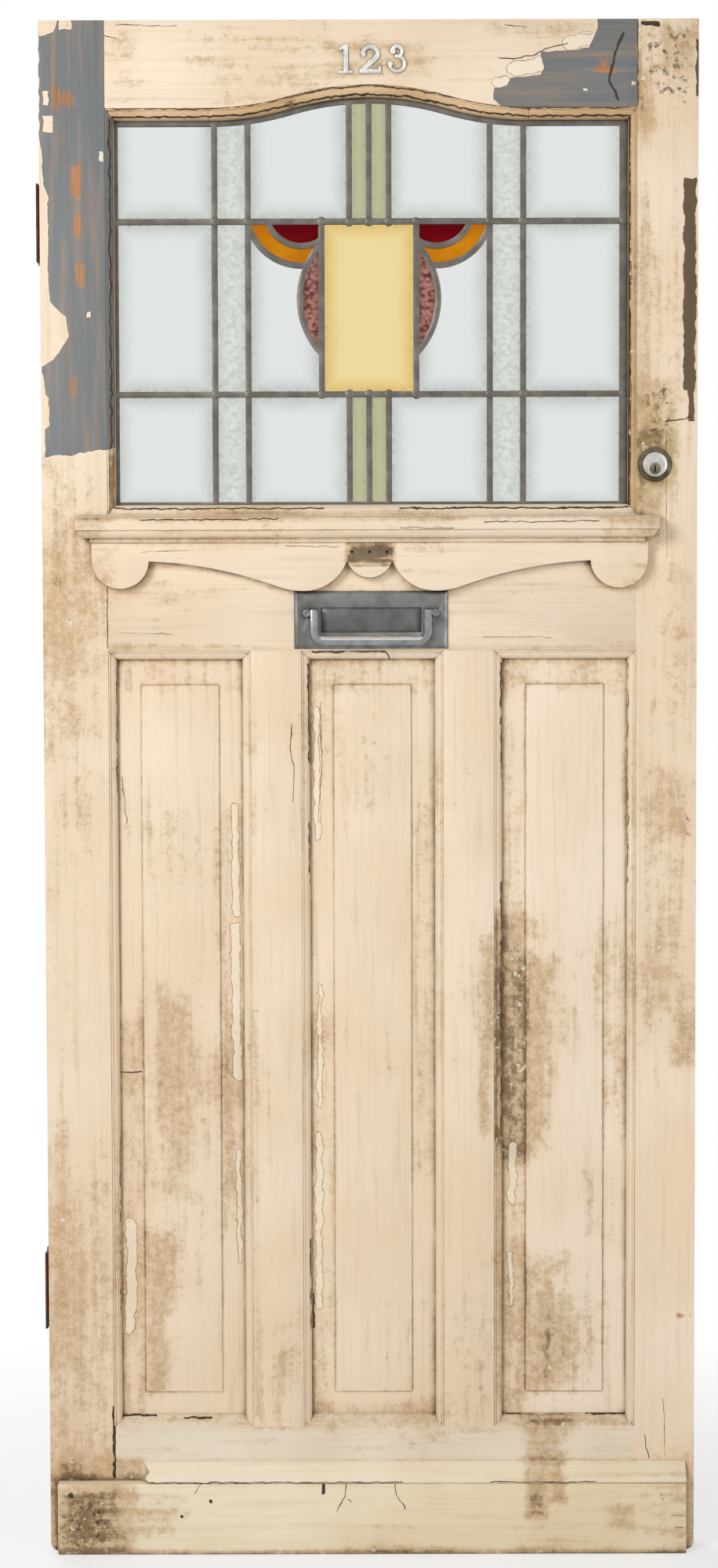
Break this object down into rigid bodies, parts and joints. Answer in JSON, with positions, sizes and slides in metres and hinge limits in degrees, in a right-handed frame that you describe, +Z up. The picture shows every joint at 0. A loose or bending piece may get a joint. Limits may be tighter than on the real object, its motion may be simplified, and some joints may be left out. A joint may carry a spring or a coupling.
{
  "type": "panelled front door",
  "caption": "Weathered panelled front door leaf with an arched leaded light, drip shelf and scalloped apron, letter plate with drop knocker, rim lock and butt hinges.",
  "frame": {"origin": "middle of the leaf's foot, halfway through its thickness", "axes": "+Z up along the stiles, +X from the hinge side to the lock side, +Y from outside to inside"},
  "size_m": [0.8712, 0.124, 2.032],
  "materials": {
    "painted_wood": "old cream gloss paint, dirty and flaking over grey undercoat",
    "lead": "dull oxidised lead",
    "clear_glass": "clear, a little wavy",
    "hammered_glass": "hammered",
    "green_glass": "translucent green",
    "amber_glass": "amber",
    "ruby_glass": "ruby",
    "purple_glass": "rippled purple red",
    "yellow_glass": "pale yellow",
    "dull_plate_metal": "dull worn plating",
    "plain_steel": "plain steel",
    "dark_ring_metal": "dark worn plating",
    "satin_cylinder_metal": "satin",
    "aged_brass": "aged brass",
    "lock_enamel": "dark stoved enamel",
    "rusty_iron": "rusty, with old paint",
    "polished_numerals": "polished"
  },
  "bodies": {
    "jamb_hinges": {"top_hinge_jamb_leaf": "rusty_iron", "bottom_hinge_jamb_leaf": "rusty_iron", "hinge_pins": "rusty_iron"},
    "door_leaf": {"hinge_stile": "painted_wood", "lock_stile": "painted_wood", "top_rail": "painted_wood", "lock_rail": "painted_wood", "bottom_rail": "painted_wood", "muntin_left": "painted_wood", "muntin_right": "painted_wood", "panel_left": "painted_wood", "panel_centre": "painted_wood", "panel_right": "painted_wood", "panel_left_mouldings": "painted_wood", "panel_centre_mouldings": "painted_wood", "panel_right_mouldings": "painted_wood", "glazing_mould_left": "painted_wood", "glazing_mould_right": "painted_wood", "glazing_mould_head": "painted_wood", "glazing_bead_sill": "painted_wood", "inner_glazing_beads": "painted_wood", "drip_shelf": "painted_wood", "shelf_apron": "painted_wood", "weatherboard": "painted_wood", "weather_strip": "painted_wood", "clear_panes": "clear_glass", "hammered_panes": "hammered_glass", "green_panes": "green_glass", "amber_panes": "amber_glass", "ruby_panes": "ruby_glass", "leaf_panes": "purple_glass", "yellow_pane": "yellow_glass", "lead_cames": "lead", "letter_plate": "dull_plate_metal", "bail_posts": "dull_plate_metal", "flap_rod": "plain_steel", "flap_spring": "plain_steel", "post_nuts": "plain_steel", "cylinder_clamp_plate": "plain_steel", "cylinder_screws": "plain_steel", "lock_back_plate": "plain_steel", "lock_screws": "plain_steel", "cylinder_ring": "dark_ring_metal", "cylinder_body": "satin_cylinder_metal", "lock_case": "lock_enamel", "top_hinge_door_leaf": "rusty_iron", "bottom_hinge_door_leaf": "rusty_iron", "hinge_screws": "rusty_iron", "numeral_one": "polished_numerals", "numeral_two": "polished_numerals", "numeral_three": "polished_numerals"},
    "knocker": {"knocker_bail": "dull_plate_metal"},
    "letter_flap": {"letter_flap": "dull_plate_metal"},
    "thumb_turn": {"thumb_turn": "aged_brass", "lock_hub": "aged_brass"},
    "key_plug": {"cylinder_plug": "aged_brass", "cylinder_tailbar": "plain_steel"},
    "lock_bolt": {"lock_bolt": "aged_brass"}
  },
  "joints": [
    {"name": "door_swing", "type": "hinge", "parent": "jamb_hinges", "child": "door_leaf", "pos_m": [-0.4332, 0.0283, 1.061], "axis": [0, 0, 1], "range_deg": [0, 110]},
    {"name": "knocker_swing", "type": "hinge", "parent": "door_leaf", "child": "knocker", "pos_m": [0.00175, -0.0357, 1.2576], "axis": [-1, 0, 0], "range_deg": [-6, 80]},
    {"name": "letter_flap_swing", "type": "hinge", "parent": "door_leaf", "child": "letter_flap", "pos_m": [0.00175, -0.0181, 1.2711], "axis": [1, 0, 0], "range_deg": [0, 75], "stiffness_Nm_per_rad": 0.02, "springref_deg": -22.92, "deforming": ["flap_spring"]},
    {"name": "thumb_turn_turn", "type": "hinge", "parent": "door_leaf", "child": "thumb_turn", "pos_m": [0.376, 0.04, 1.4466], "axis": [0, 1, 0], "range_deg": [0, 63]},
    {"name": "key_plug_turn", "type": "hinge", "parent": "door_leaf", "child": "key_plug", "pos_m": [0.376, -0.01, 1.4466], "axis": [0, 1, 0], "range_deg": [0, 63]},
    {"name": "lock_bolt_slide", "type": "slide", "parent": "door_leaf", "child": "lock_bolt", "axis": [1, 0, 0], "range_m": [0, 0.014]}
  ],
  "couplings": [
    {"joint": "thumb_turn_turn", "follows": "lock_bolt_slide", "rad_per_m": 74.79},
    {"joint": "key_plug_turn", "follows": "lock_bolt_slide", "rad_per_m": 74.79}
  ]
}
